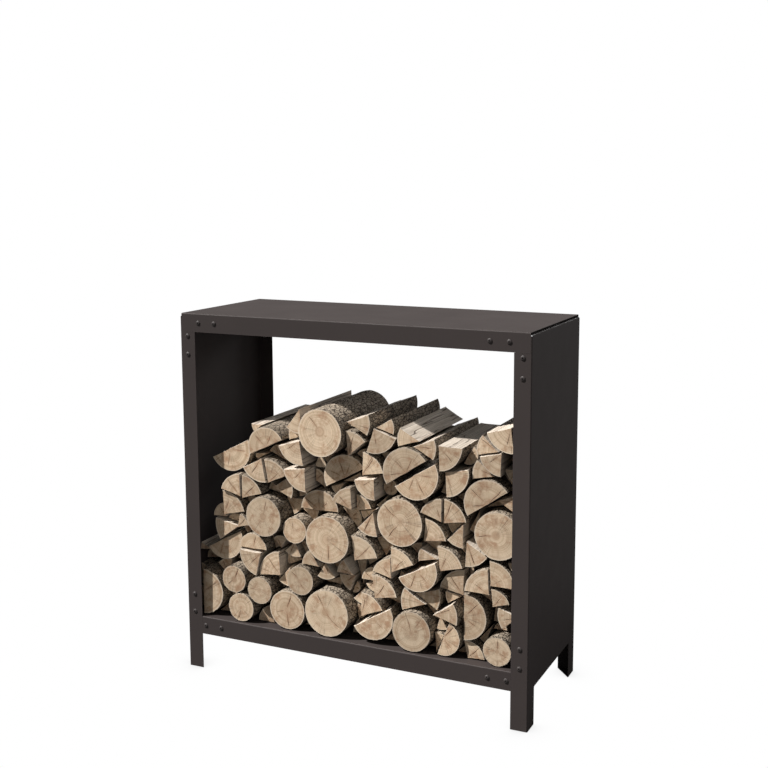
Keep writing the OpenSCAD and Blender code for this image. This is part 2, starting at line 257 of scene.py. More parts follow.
class Effects:
    """The effects that several finishes share, each built once as a node group."""

    def __init__(self) -> None:
        """Builds the groups."""
        self.edge_wear = self._edge_wear()
        self.settled_dust = self._settled_dust()
        self.mottle = self._mottle()

    @staticmethod
    def _edge_wear() -> bpy.types.NodeTree:
        """Builds a mask that is strong along the twelve edges of a piece's box.

        Returns:
            The group, with the box and the width of the worn band as inputs.
        """
        bench, take, give = new_group("edge_wear", {
            "Place": ("NodeSocketVector", (0.0, 0.0, 0.0)),
            "Centre": ("NodeSocketVector", (0.0, 0.0, 0.0)),
            "Half Size": ("NodeSocketVector", (1.0, 1.0, 1.0)),
            "Width": ("NodeSocketFloat", 0.002),
            "Breakup": ("NodeSocketFloat", 90.0)}, {"Mask": "NodeSocketFloat"})
        inward = bench.vector("SUBTRACT", take["Half Size"], bench.vector(
            "ABSOLUTE", bench.vector("SUBTRACT", take["Place"], take["Centre"])))
        split = bench.put("ShaderNodeSeparateXYZ", {0: inward}).outputs
        pairs = [bench.math("MAXIMUM", split[a], split[b]) for a, b in ((0, 1), (1, 2), (0, 2))]
        nearest = bench.math("MINIMUM", bench.math("MINIMUM", pairs[0], pairs[1]), pairs[2])
        rough = bench.put("ShaderNodeTexNoise",
                          {"Vector": take["Place"], "Scale": take["Breakup"], "Detail": 4.0})
        reach = bench.times(take["Width"], bench.times(rough.outputs[0], 2.0))
        closeness = bench.math("SUBTRACT", 1.0, bench.math("DIVIDE", nearest, reach))
        bench.wire(bench.span(closeness, 0.0, 0.8), give["Mask"])
        return bench.tree

    @staticmethod
    def _settled_dust() -> bpy.types.NodeTree:
        """Builds a mask of fine dust that lies on faces turned upwards.

        Returns:
            The group, with the amount and the patch size as inputs.
        """
        bench, take, give = new_group("settled_dust", {
            "Place": ("NodeSocketVector", (0.0, 0.0, 0.0)),
            "Amount": ("NodeSocketFloat", 0.3),
            "Patches": ("NodeSocketFloat", 9.0)}, {"Mask": "NodeSocketFloat"})
        facing = bench.put("ShaderNodeSeparateXYZ", {0: bench.put("ShaderNodeNewGeometry").outputs["Normal"]})
        upward = bench.span(facing.outputs[2], 0.35, 0.95)
        coarse = bench.put("ShaderNodeTexNoise",
                           {"Vector": take["Place"], "Scale": take["Patches"], "Detail": 5.0})
        fine = bench.noise(take["Place"], 900.0, 2.0)
        cover = bench.times(bench.span(coarse.outputs[0], 0.3, 0.75), bench.span(fine, 0.35, 0.7))
        bench.wire(bench.times(bench.times(cover, upward), take["Amount"]), give["Mask"])
        return bench.tree

    @staticmethod
    def _mottle() -> bpy.types.NodeTree:
        """Builds a soft tonal variation about 1 in two sizes.

        Returns:
            The group, with the depth and the patch size as inputs.
        """
        bench, take, give = new_group("mottle", {
            "Place": ("NodeSocketVector", (0.0, 0.0, 0.0)),
            "Depth": ("NodeSocketFloat", 0.1),
            "Patches": ("NodeSocketFloat", 6.0)}, {"Factor": "NodeSocketFloat"})
        coarse = bench.put("ShaderNodeTexNoise",
                           {"Vector": take["Place"], "Scale": take["Patches"], "Detail": 4.0})
        fine = bench.noise(take["Place"], 160.0, 3.0)
        both = bench.plus(bench.times(coarse.outputs[0], 0.7), bench.times(fine, 0.3))
        swing = bench.times(bench.math("SUBTRACT", both, 0.5), take["Depth"])
        bench.wire(bench.plus(1.0, bench.times(swing, 2.0)), give["Factor"])
        return bench.tree


@dataclass
class Finish:
    """A material under construction: its bench, its shader and its coordinates."""

    name: str
    effects: Effects
    material: bpy.types.Material = field(init=False)
    bench: Bench = field(init=False)
    shader: bpy.types.Node = field(init=False)
    place: Socket = field(init=False)

    def __post_init__(self) -> None:
        """Starts an empty material with one Principled BSDF."""
        self.material = bpy.data.materials.new(self.name)
        self.material.use_nodes = True
        self.material.node_tree.nodes.clear()
        self.bench = Bench(self.material.node_tree)
        self.shader = self.bench.put("ShaderNodeBsdfPrincipled")
        self.bench.put("ShaderNodeOutputMaterial", {"Surface": self.shader.outputs[0]})
        self.place = self.bench.put("ShaderNodeTexCoord").outputs["Object"]

    def effect(self, group: bpy.types.NodeTree, **values: object) -> Socket:
        """Places one of the shared effects with its own values.

        Args:
            group: The effect.
            **values: Its inputs, with underscores for spaces.

        Returns:
            Its one output.
        """
        node = self.bench.put("ShaderNodeGroup", node_tree=group)
        self.bench.wire(self.place, node.inputs["Place"])
        for name, value in values.items():
            self.bench.wire(value, node.inputs[name.replace("_", " ")])
        return node.outputs[0]

    def bump(self, height: Socket, distance: float, strength: float = 1.0) -> None:
        """Feeds a height into the shader's normal.

        Args:
            height: The height, between 0 and 1.
            distance: What a height of 1 stands for, in metres.
            strength: How much of it shows.
        """
        node = self.bench.put("ShaderNodeBump",
                              {"Height": height, "Distance": distance, "Strength": strength})
        self.bench.wire(node.outputs[0], self.shader.inputs["Normal"])


# ---------------------------------------------------------------------------
# Finishes
# ---------------------------------------------------------------------------


@dataclass(frozen=True)
class PowderCoat:
    """Fine-textured satin powder coat over steel."""

    colour: Colour = (0.043, 0.0345, 0.0330)
    rubbed: Colour = (0.080, 0.068, 0.066)
    dust: Colour = (0.30, 0.27, 0.25)
    roughness: float = 0.64
    wear_width: float = 1.6 * MM
    wear_depth: float = 0.35
    dust_amount: float = 0.05

    def dress(self, piece: str, effects: Effects) -> bpy.types.Material:
        """Makes the coat for one CAD node, with wear along that node's own edges.

        Args:
            piece: The CAD node.
            effects: The shared effects.

        Returns:
            The material.
        """
        low, high = (Vector(corner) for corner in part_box(piece))
        made = Finish(f"powder_coat_{piece}", effects)
        bench = made.bench
        tone = made.effect(effects.mottle, Depth=0.10, Patches=5.0)
        coat = bench.vector("SCALE", self.colour, scale=tone)
        worn = made.effect(effects.edge_wear, Centre=tuple((low + high) / 2),
                           Half_Size=tuple((high - low) / 2),
                           Width=self.wear_width)
        dust = made.effect(effects.settled_dust, Amount=self.dust_amount)
        rubbed = bench.mix(bench.times(worn, self.wear_depth), coat, self.rubbed)
        bench.wire(bench.mix(dust, rubbed, self.dust), made.shader.inputs["Base Color"])
        pearl = bench.noise(made.place, 1100.0, 2.0, 0.5)
        cloud = bench.noise(made.place, 14.0, 4.0)
        gloss = bench.plus(self.roughness, bench.times(bench.math("SUBTRACT", cloud, 0.5), 0.16))
        gloss = bench.math("SUBTRACT", gloss, bench.times(worn, 0.10))
        gloss = bench.plus(gloss, bench.times(dust, 0.6))
        bench.wire(gloss, made.shader.inputs["Roughness"])
        peel = bench.plus(bench.times(pearl, 0.7),
                          bench.times(bench.noise(made.place, 260.0, 2.0), 0.3))
        made.bump(peel, 0.10 * MM, 0.55)
        made.shader.inputs["Specular IOR Level"].default_value = 0.22
        return made.material


@dataclass(frozen=True)
class Plating:
    """A plated or blackened fastener."""

    colour: Colour
    bright: Colour
    metallic: float
    roughness: float

    def dress(self, name: str, effects: Effects) -> bpy.types.Material:
        """Makes the finish with a fine grit, a mottled tone and a brighter rub in noise patches.

        Args:
            name: The material's name.
            effects: The shared effects.

        Returns:
            The material.
        """
        made = Finish(name, effects)
        bench = made.bench
        tone = made.effect(effects.mottle, Depth=0.25, Patches=120.0)
        rub = bench.span(bench.noise(made.place, 420.0, 4.0), 0.52, 0.72)
        plain = bench.vector("SCALE", self.colour, scale=tone)
        bench.wire(bench.mix(bench.times(rub, 0.5), plain, self.bright), made.shader.inputs["Base Color"])
        made.shader.inputs["Metallic"].default_value = self.metallic
        grit = bench.noise(made.place, 1500.0, 3.0)
        bench.wire(bench.plus(self.roughness, bench.times(bench.math("SUBTRACT", grit, 0.5), 0.2)),
                   made.shader.inputs["Roughness"])
        made.bump(grit, 0.05 * MM, 0.5)
        return made.material


@dataclass(frozen=True)
class EndGrain:
    """The sawn end of a log: rings, rays, drying checks with painted shade in them, and a pale rim."""

    pale: Colour = (0.63, 0.50, 0.36)
    ring: Colour = (0.40, 0.285, 0.185)
    heart: Colour = (0.36, 0.215, 0.130)
    # check: near-black painted shade inside the opened drying checks and the hairline checks
    check: Colour = (0.055, 0.028, 0.016)
    rim: Colour = (0.64, 0.55, 0.44)

    def dress(self, effects: Effects) -> bpy.types.Material:
        """Makes the finish, which reads each log's pith, radius and shade from its attributes.

        Args:
            effects: The shared effects.

        Returns:
            The material.
        """
        made = Finish("sawn_end_grain", effects)
        bench = made.bench
        pith, own = bench.attribute("pith", "Vector"), bench.attribute("own", "Vector")
        radius, seed, shade = bench.put("ShaderNodeSeparateXYZ", {0: own}).outputs
        away = bench.vector("MULTIPLY", bench.vector("SUBTRACT", made.place, pith), (1.0, 0.0, 1.0))
        shift = bench.put("ShaderNodeCombineXYZ", {1: bench.times(seed, 40.0)}).outputs[0]
        flat = bench.vector("ADD", away, shift)
        outward = bench.vector("ADD", bench.vector("NORMALIZE", away), shift)
        wobble = bench.times(bench.math("SUBTRACT", bench.noise(flat, 26.0, 2.0), 0.5), 7 * MM)
        reach = bench.plus(bench.times(bench.attribute("reach"), radius), wobble)
        line = bench.put("ShaderNodeCombineXYZ", {0: reach, 1: bench.times(seed, 9.0)}).outputs[0]
        rings = bench.span(bench.noise(line, 330.0, 2.0, 0.6), 0.32, 0.68)
        wide = bench.span(bench.noise(line, 75.0, 1.0), 0.3, 0.7)
        grain = bench.plus(bench.times(rings, 0.42), bench.times(wide, 0.38))
        streak = bench.noise(outward, 22.0, 3.0, 0.7)
        grain = bench.plus(grain, bench.times(bench.math("SUBTRACT", streak, 0.5), 0.6))
        wood = bench.mix(bench.span(grain, 0.0, 0.95), self.pale, self.ring)
        warm = bench.noise(bench.vector("ADD", flat, bench.vector("SCALE", bench.put("ShaderNodeTexNoise", {
            "Vector": flat, "Scale": 60.0, "Detail": 3.0}).outputs[1], scale=0.012)), 40.0, 5.0, 0.7)
        blotch = bench.times(bench.span(warm, 0.47, 0.68), 0.90)
        core = bench.span(bench.attribute("reach"), 0.02, 0.36, 0.50, 0.0)
        halo = bench.times(bench.attribute("halo"),
                           bench.span(bench.noise(flat, 90.0, 3.0), 0.3, 0.7, 0.35, 0.9))
        wood = bench.mix(bench.math("MAXIMUM", bench.math("MAXIMUM", blotch, core), halo), wood, self.heart)
        # hairline checks: thin lines of painted shade, also sunk by the bump below
        hair = bench.math("ABSOLUTE", bench.math("SUBTRACT", bench.noise(outward, 5.5, 2.0, 0.7), 0.5))
        patch = bench.span(bench.noise(flat, 30.0, 2.0), 0.40, 0.58)
        hairline = bench.times(bench.span(hair, 0.0, 0.020, 0.55, 0.0), patch)
        wood = bench.mix(hairline, wood, self.check)
        edge = bench.times(bench.span(bench.attribute("reach"), 0.945, 0.985), 0.75)
        wood = bench.mix(edge, wood, self.rim)
        # the opened checks are also painted near-black: painted shade inside the real groove
        crack = bench.attribute("crack")
        wood = bench.mix(bench.span(crack, 0.12, 0.62), wood, self.check)
        spread = bench.plus(1.0, bench.times(shade, 0.16))
        tone = bench.times(made.effect(effects.mottle, Depth=0.18, Patches=28.0), spread)
        bench.wire(bench.vector("SCALE", wood, scale=tone), made.shader.inputs["Base Color"])
        bench.wire(bench.span(grain, 0.0, 1.0, 0.92, 0.74), made.shader.inputs["Roughness"])
        made.shader.inputs["Specular IOR Level"].default_value = 0.25
        saw = bench.put("ShaderNodeTexWave", {
            "Vector": bench.put("ShaderNodeMapping",
                                {"Vector": flat, "Rotation": (0.0, 0.5, 0.0)}).outputs[0],
            "Scale": 140.0, "Distortion": 1.2, "Detail": 1.0}, wave_type="BANDS", bands_direction="X")
        relief = bench.plus(bench.times(saw.outputs[1], 0.35), bench.times(grain, 0.5))
        relief = bench.math("SUBTRACT", relief, bench.times(hairline, 0.8))
        made.bump(relief, 0.5 * MM, 0.7)
        return made.material


@dataclass(frozen=True)
class SplitFace:
    """A face that the axe opened: long torn fibres, weathered a little grey, with painted shade in the
    grooves between them.
    """

    pale: Colour = (0.68, 0.60, 0.51)
    fibre: Colour = (0.44, 0.37, 0.30)
    # cleft: painted shade in the grooves between the fibres
    cleft: Colour = (0.11, 0.085, 0.065)

    def dress(self, effects: Effects) -> bpy.types.Material:
        """Makes the finish, with the fibres along the log.

        Args:
            effects: The shared effects.

        Returns:
            The material.
        """
        made = Finish("split_wood_face", effects)
        bench = made.bench
        _, seed, shade = bench.put("ShaderNodeSeparateXYZ", {0: bench.attribute("own", "Vector")}).outputs
        shift = bench.put("ShaderNodeCombineXYZ", {1: bench.times(seed, 60.0)}).outputs[0]
        along = bench.vector("ADD", bench.stretch(made.place, (1.0, 0.035, 1.0)), shift)
        sway = bench.vector("ADD", along, bench.vector("SCALE", bench.put("ShaderNodeTexNoise", {
            "Vector": made.place, "Scale": 9.0, "Detail": 2.0}).outputs[1], scale=0.006))
        fine = bench.noise(sway, 620.0, 3.0, 0.6)
        broad = bench.noise(sway, 130.0, 3.0, 0.6)
        grain = bench.plus(bench.times(fine, 0.45), bench.times(broad, 0.55))
        wood = bench.mix(bench.span(grain, 0.34, 0.66), self.fibre, self.pale)
        # grooves sunk by the bump and darkened with painted shade
        groove = bench.math("ABSOLUTE", bench.math("SUBTRACT", bench.noise(sway, 60.0, 1.0, 0.6), 0.5))
        groove = bench.span(groove, 0.0, 0.022, 0.9, 0.0)
        wood = bench.mix(groove, wood, self.cleft)
        spread = bench.plus(1.0, bench.times(shade, 0.14))
        tone = bench.times(made.effect(effects.mottle, Depth=0.28, Patches=16.0), spread)
        bench.wire(bench.vector("SCALE", wood, scale=tone), made.shader.inputs["Base Color"])
        bench.wire(bench.span(grain, 0.3, 0.7, 0.9, 0.72), made.shader.inputs["Roughness"])
        made.shader.inputs["Specular IOR Level"].default_value = 0.25
        made.bump(bench.math("SUBTRACT", grain, groove), 1.2 * MM, 0.8)
        return made.material


@dataclass(frozen=True)
class Bark:
    """Rough bark: pale cracked plates over dark furrows, their darkness partly the bark's own colour and
    partly painted shade.
    """

    plate: Colour = (0.43, 0.36, 0.285)
    plate_dark: Colour = (0.25, 0.205, 0.155)
    # furrow: partly the bark's own dark colour, partly painted shade in the furrows
    furrow: Colour = (0.055, 0.042, 0.032)

    def dress(self, effects: Effects) -> bpy.types.Material:
        """Makes the finish, with plates longer along the log than round it.

        Args:
            effects: The shared effects.

        Returns:
            The material.
        """
        made = Finish("rough_bark", effects)
        bench = made.bench
        _, seed, shade = bench.put("ShaderNodeSeparateXYZ", {0: bench.attribute("own", "Vector")}).outputs
        shift = bench.put("ShaderNodeCombineXYZ", {1: bench.times(seed, 50.0)}).outputs[0]
        sway = bench.put("ShaderNodeTexNoise",
                         {"Vector": made.place, "Scale": 70.0, "Detail": 3.0}).outputs[1]
        here = bench.vector("ADD", bench.vector("ADD", bench.stretch(made.place, (1.0, 0.5, 1.0)), shift),
                            bench.vector("SCALE", sway, scale=0.008))
        cells = bench.put("ShaderNodeTexVoronoi", {"Vector": here, "Scale": 115.0},
                          feature="DISTANCE_TO_EDGE")
        flakes = bench.put("ShaderNodeTexVoronoi", {"Vector": here, "Scale": 260.0}, feature="F1")
        gap = bench.span(cells.outputs["Distance"], 0.01, 0.12)
        tone_a = bench.noise(here, 60.0, 4.0, 0.7)
        plates = bench.mix(bench.span(tone_a, 0.36, 0.64), self.plate_dark, self.plate)
        plates = bench.mix(bench.span(flakes.outputs["Distance"], 0.35, 0.75, 0.0, 0.6), plates,
                           self.plate_dark)
        # the furrows between plates take the furrow colour: partly own colour, partly painted shade
        skin = bench.mix(gap, self.furrow, plates)
        spread = bench.plus(1.0, bench.times(shade, 0.2))
        tone = bench.times(made.effect(effects.mottle, Depth=0.35, Patches=12.0), spread)
        bench.wire(bench.vector("SCALE", skin, scale=tone), made.shader.inputs["Base Color"])
        bench.wire(bench.span(gap, 0.0, 1.0, 0.97, 0.84), made.shader.inputs["Roughness"])
        made.shader.inputs["Specular IOR Level"].default_value = 0.2
        height = bench.plus(bench.times(gap, 0.7), bench.times(tone_a, 0.5))
        made.bump(height, 2.2 * MM, 0.9)
        return made.material


# ---------------------------------------------------------------------------
# Reading the frame
# ---------------------------------------------------------------------------


def solids_of(node: str) -> list[np.ndarray]:
    """Splits a CAD node into its separate solids.

    Args:
        node: The CAD node.

    Returns:
        The corner points of each solid, one row each.
    """
    work = bmesh.new()
    work.from_mesh(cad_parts[node].data)
    bmesh.ops.remove_doubles(work, verts=work.verts, dist=0.01 * MM)
    work.verts.ensure_lookup_table()
    seen: set[int] = set()
    solids = []
    for first in work.verts:
        if first.index in seen:
            continue
        seen.add(first.index)
        queue, members = [first], []
        while queue:
            vert = queue.pop()
            members.append(tuple(vert.co))
            for edge in vert.link_edges:
                other = edge.other_vert(vert)
                if other.index not in seen:
                    seen.add(other.index)
                    queue.append(other)
        solids.append(np.array(members))
    work.free()
    return sorted(solids, key=lambda points: tuple(np.round(points.mean(axis=0), 4)))


def finished(name: str, mesh: bpy.types.Mesh) -> bpy.types.Object:
    """Links a mesh as a piece at the origin.

    Args:
        name: The piece's name.
        mesh: Its mesh.

    Returns:
        The piece.
    """
    mesh.name = name
    piece = bpy.data.objects.new(name, mesh)
    bpy.context.scene.collection.objects.link(piece)
    return piece


# ---------------------------------------------------------------------------
# Firewood
# ---------------------------------------------------------------------------


class Skin(IntEnum):
    """What covers a face of a log, in the order of its material slots."""

    BARK = 0
    SPLIT = 1
    END = 2


def lattice_noise(points: np.ndarray, seed: int) -> np.ndarray:
    """Smooth noise on a lattice of unit cells.

    Args:
        points: Rows of three coordinates.
        seed: Which noise.

    Returns:
        A value between 0 and 1 for each row.
    """
    cell = np.floor(points).astype(np.int64)
    part = points - cell
    part = part * part * (3 - 2 * part)
    total = np.zeros(points.shape[:-1])
    for corner in itertools.product((0, 1), repeat=3):
        at = cell + np.array(corner)
        mixed = (at[..., 0] * 73856093) ^ (at[..., 1] * 19349663) ^ (at[..., 2] * 83492791) ^ (seed * 2654435)
        mixed = ((mixed ^ (mixed >> 13)) * 1274126177) & 0x7FFFFFFF
        value = ((mixed ^ (mixed >> 15)) & 0xFFFF) / 65535.0
        weight = np.prod(np.where(np.array(corner) == 1, part, 1 - part), axis=-1)
        total += value * weight
    return total


@dataclass(frozen=True)
class LogShape:
    """One log as the frame has it: a round, or a sector of one, along Y."""

    centre: tuple[float, float]
    radius: float
    start: float
    sweep: float
    front: float
    rear: float

    @property
    def is_round(self) -> bool:
        """Says whether the log was never split."""
        return self.sweep > TURN - 0.01

    @classmethod
    def read(cls, points: np.ndarray) -> "LogShape":
        """Finds the round or sector that a solid's front outline is.

        Args:
            points: The solid's corner points.

        Returns:
            The shape.
        """
        front, rear = points[:, 1].min(), points[:, 1].max()
        outline = points[points[:, 1] < front + 0.05 * MM][:, (0, 2)]
        middle = outline.mean(axis=0)
        turn = np.arctan2(outline[:, 1] - middle[1], outline[:, 0] - middle[0])
        outline = outline[np.argsort(turn)]
        sides = np.linalg.norm(np.roll(outline, -1, axis=0) - outline, axis=1)
        extent = (outline.max(axis=0) - outline.min(axis=0)).max()
        straight = [i for i in np.argsort(-sides)[:2] if sides[i] > 0.40 * extent]
        count = len(outline)
        if not straight:
            centre = (outline.max(axis=0) + outline.min(axis=0)) / 2
            return cls(tuple(centre), float(np.linalg.norm(outline - centre, axis=1).max()), 0.0, TURN,
                       front, rear)
        if len(straight) == 1:
            first, last = outline[(straight[0] + 1) % count], outline[straight[0]]
            centre = (first + last) / 2
        else:
            low, high = sorted(straight)
            apex = high if high == low + 1 else 0
            centre = outline[apex % count]
            first, last = outline[(apex + 1) % count], outline[(apex - 1) % count]
        begin = math.atan2(*(first - centre)[::-1])
        end = math.atan2(*(last - centre)[::-1])
        return cls(tuple(centre), float(np.linalg.norm(first - centre)), begin, (end - begin) % TURN, front,
                   rear)


@dataclass(frozen=True)
class LogShell:
    """A built log: its closed shell and what the finishes read at each point."""

    points: np.ndarray
    faces: list[tuple[int, ...]]
    skins: list[int]
    marks: dict[str, np.ndarray]
    pith: Colour


@dataclass
class LogMaker:
    """Cuts, splits and barks one log inside its CAD solid."""

    shape: LogShape
    seed: int
    arc_step: float = 6.2 * MM
    length_step: float = 12.0 * MM
    arris: float = 0.6 * MM
    bark_depth: float = 1.3 * MM
    bark_rise: float = 0.5 * MM
    tear_depth: float = 1.6 * MM
    check_depth: float = 3.4 * MM
    halo_width: float = 5.0 * MM
    saw_tilt: float = 0.022
    rings: tuple[float, ...] = (0.0, 0.13, 0.30, 0.48, 0.66, 0.82, 0.94, 1.0)

    def __post_init__(self) -> None:
        """Seeds the draws of this log."""
        self.draw = np.random.default_rng(self.seed)

    def _check_angles(self) -> list[float]:
        """Draws the directions of the drying checks, away from the split faces.

        Returns:
            The angles.
        """
        shape = self.shape
        most = 3 if shape.is_round else (3 if shape.sweep > 2.5 else (1 if shape.sweep > 0.9 else 0))
        count = int(self.draw.integers(min(1, most), most + 1))
        share = shape.sweep / max(count, 1)
        return [shape.start + share * (i + 0.5 + 0.6 * (self.draw.random() - 0.5)) for i in range(count)]

    def _spokes(self) -> tuple[np.ndarray, np.ndarray]:
        """Spaces the spokes of the end faces, with three close together at each check.

        Returns:
            The angles, and for each the number of its check, or -1.
        """
        shape = self.shape
        steps = max(4, round(shape.radius * shape.sweep / self.arc_step))
        angles = shape.start + shape.sweep * np.arange(steps + (0 if shape.is_round else 1)) / steps
        near = 1.0 * MM / (0.7 * shape.radius)
        marks = [(angle, -1) for angle in angles]
        for number, angle in enumerate(self._check_angles()):
            marks = [m for m in marks if abs(m[0] - angle) > 2.2 * near or m[0] in (angles[0], angles[-1])]
            marks += [(angle - near, -1), (angle, number), (angle + near, -1)]
        marks.sort()
        return np.array([m[0] for m in marks]), np.array([m[1] for m in marks])

    def _rows(self) -> tuple[np.ndarray, np.ndarray]:
        """Spaces the rows along the length.

        Returns:
            Each row's share of the length, and how far it is drawn in at the two sawn arrises.
        """
        length = self.shape.rear - self.shape.front
        edge = 1.3 * self.arris / length
        inner = np.linspace(3.5 * edge, 1 - 3.5 * edge, max(4, round(length / self.length_step)))
        shares = np.concatenate([[0.0, edge], inner, [1 - edge, 1.0]])
        drawn_in = np.zeros(len(shares))
        drawn_in[[0, -1]] = self.arris
        return shares, drawn_in

    def build(self) -> LogShell:
        """Builds the log as one closed shell.

        Returns:
            The log.
        """
        shape, draw = self.shape, self.draw
        spokes, checks = self._spokes()
        shares, drawn_in = self._rows()
        fractions = np.array(self.rings)
        centre = np.array(shape.centre)
        rows, spoke_count, ring_count = len(shares), len(spokes), len(fractions)
        angle = np.broadcast_to(spokes, (rows, spoke_count))
        y_plain = shape.front + shares * (shape.rear - shape.front)
        around = np.stack([np.cos(angle) * shape.radius, np.broadcast_to(y_plain[:, None], angle.shape),
                           np.sin(angle) * shape.radius], axis=-1)
        rim = shape.radius - self._bark_relief(around, angle) - drawn_in[:, None]

        if shape.is_round:
            drift = draw.random() * TURN
            offset = 0.10 * shape.radius * draw.random() * np.array([math.cos(drift), math.sin(drift)])
            apex = np.broadcast_to(offset, (rows, 2))
        else:
            bisector = shape.start + shape.sweep / 2
            inset = (drawn_in + 0.35 * MM) / math.sin(shape.sweep / 2)
            apex = inset[:, None] * np.array([math.cos(bisector), math.sin(bisector)])
        ray = np.stack([np.cos(angle), np.sin(angle)], axis=-1)
        along = (apex[:, None] * ray).sum(axis=-1)
        reach = -along + np.sqrt(along ** 2 - (apex ** 2).sum(axis=-1)[:, None] + rim ** 2)

        swirl = self._swirl(spokes, fractions)
        turned = spokes[:, None] + swirl
        ray = np.stack([np.cos(turned), np.sin(turned)], axis=-1)
        flat = apex[:, None, None] + reach[:, :, None, None] * fractions[None, None, :, None] * ray[None]
        if not shape.is_round:
            self._tear(flat, fractions, y_plain)
        flat = flat + centre

        points = np.empty((rows, spoke_count, ring_count, 3))
        points[..., 0], points[..., 2] = flat[..., 0], flat[..., 1]
        crack, halo = self._open_checks(spokes, checks, fractions)
        points[..., 1] = self._sawn_rows(flat - centre, shares)
        points[0, ..., 1] += crack * self.check_depth
        points[-1, ..., 1] -= crack * self.check_depth
        return self._shell(points, fractions, {"crack": crack, "halo": halo}, centre + apex[0])

    def _bark_relief(self, around: np.ndarray, angle: np.ndarray) -> np.ndarray:
        """Finds how deep the bark lies under the CAD surface.

        Args:
            around: Points on the plain round.
            angle: Their angles.

        Returns:
            The depth at each point, a little below nothing on the highest plates.
        """
        oval = 0.5 + 0.5 * np.cos(2 * angle + self.draw.random() * TURN)
        lump = 0.5 + 0.5 * np.cos(3 * angle + self.draw.random() * TURN)
        long_way = around * np.array([1.0, 0.35, 1.0])
        ridge = 1 - np.abs(2 * lattice_noise(long_way * 62, self.seed) - 1)
        crumb = lattice_noise(long_way * 170, self.seed + 1)
        return (self.shape.radius * (0.006 * oval + 0.004 * lump) - self.bark_rise
                + self.bark_depth * (0.03 + 0.6 * ridge ** 2 + 0.35 * crumb))

    def _swirl(self, spokes: np.ndarray, fractions: np.ndarray) -> np.ndarray:
        """Bends the spokes a little, so that checks wander as they do in real wood.

        Args:
            spokes: The spokes' angles.
            fractions: The rings' shares of the radius.

        Returns:
            The turn of each spoke at each ring.
        """
        shape = self.shape
        grid = np.stack(np.broadcast_arrays(np.cos(spokes)[:, None] * 1.5, fractions[None] * 4.0,
                                            np.sin(spokes)[:, None] * 1.5), axis=-1)
        bend = 0.22 * (lattice_noise(grid, self.seed + 2) - 0.5) * (1 - fractions ** 4)
        if not shape.is_round:
            bend = bend * np.sin(np.pi * np.clip((spokes - shape.start) / shape.sweep, 0, 1))[:, None] * 0.5
        return bend

    def _tear(self, flat: np.ndarray, fractions: np.ndarray, y_plain: np.ndarray) -> None:
        """Draws the two split faces in along torn fibres.

        Args:
            flat: The points across the log, changed in place.
            fractions: The rings' shares of the radius.
            y_plain: Each row's place along the log.
        """
        shape = self.shape
        for side, spoke in ((1, 0), (-1, -1)):
            angle = shape.start if side == 1 else shape.start + shape.sweep
            inward = side * np.array([-math.sin(angle), math.cos(angle)])
            width = fractions * shape.radius
            grid = np.stack(np.broadcast_arrays(width[None] * 150, y_plain[:, None] * 5,
                                                np.full((1, 1), side * 3.5)), -1)
            fibres = lattice_noise(grid, self.seed + 5)
            bow = lattice_noise(grid * np.array([0.12, 1.3, 1.0]), self.seed + 6)
            room = 0.22 * width * math.sin(min(shape.sweep, math.pi / 2))
            depth = np.minimum(self.tear_depth * (0.55 * fibres + 0.8 * bow), room)
            depth[[0, -1]] = np.minimum(depth[[0, -1]], 0.05 * width)
            depth[:, -1] *= 0.3
            flat[:, spoke] += depth[..., None] * inward

    def _sawn_rows(self, flat: np.ndarray, shares: np.ndarray) -> np.ndarray:
        """Tilts the two sawn ends inwards.

        Args:
            flat: The points across the log, about its centre.
            shares: Each row's share of the length.

        Returns:
            The Y of each point.
        """
        shape, draw = self.shape, self.draw
        ends = []
        for _ in range(2):
            heading = draw.random() * TURN
            slope = self.saw_tilt * draw.random()
            lean = slope * (flat[..., 0] * math.cos(heading) + flat[...,
                                                                    1] * math.sin(heading) + shape.radius)
            ends.append(lean + 0.15 * MM)
        share = shares[:, None, None]
        return (shape.front + ends[0]) * (1 - share) + (shape.rear - ends[1]) * share

    def _open_checks(self, spokes: np.ndarray, checks: np.ndarray,
                     fractions: np.ndarray) -> tuple[np.ndarray, np.ndarray]:
        """Opens the drying checks and darkens the wood beside them.

        Args:
            spokes: The spokes' angles.
            checks: For each spoke the number of its check, or -1.
            fractions: The rings' shares of the radius.

        Returns:
            How far the check and its halo show at each spoke and ring, between 0 and 1.
        """
        crack = np.zeros((len(checks), len(fractions)))
        halo = np.zeros_like(crack)
        for spoke in np.flatnonzero(checks >= 0):
            near, far = 0.14 * self.draw.random(), 0.55 + 0.42 * self.draw.random()
            crack[spoke] = np.clip(np.minimum((fractions - near) / 0.12, (far - fractions) / 0.16), 0, 1)
            away = (spokes - spokes[spoke])[:, None] * fractions[None] * self.shape.radius / self.halo_width
            halo = np.maximum(halo, crack[spoke][None] * np.exp(-away ** 2))
        crack[:, -1] = 0
        return crack, halo

    def _shell(self, points: np.ndarray, fractions: np.ndarray, marks: dict[str, np.ndarray],
               pith: np.ndarray) -> LogShell:
        """Takes the outer shell off the full grid of points.

        Args:
            points: Rows, spokes and rings of points.
            fractions: The rings' shares of the radius.
            marks: What shows on the end faces, by name, for each spoke and ring.
            pith: The pith, as X and Z.

        Returns:
            The log.
        """
        rows, spokes, rings = points.shape[:3]
        closed = self.shape.is_round
        number: dict[tuple[int, int, int], int] = {}
        kept: list[tuple[int, int, int]] = []

        def at(row: int, spoke: int, ring: int) -> int:
            """Numbers a point of the grid once, with one point for each row's pith."""
            key = (row, 0 if ring == 0 else (spoke % spokes if closed else spoke), ring)
            if key not in number:
                number[key] = len(kept)
                kept.append(key)
            return number[key]

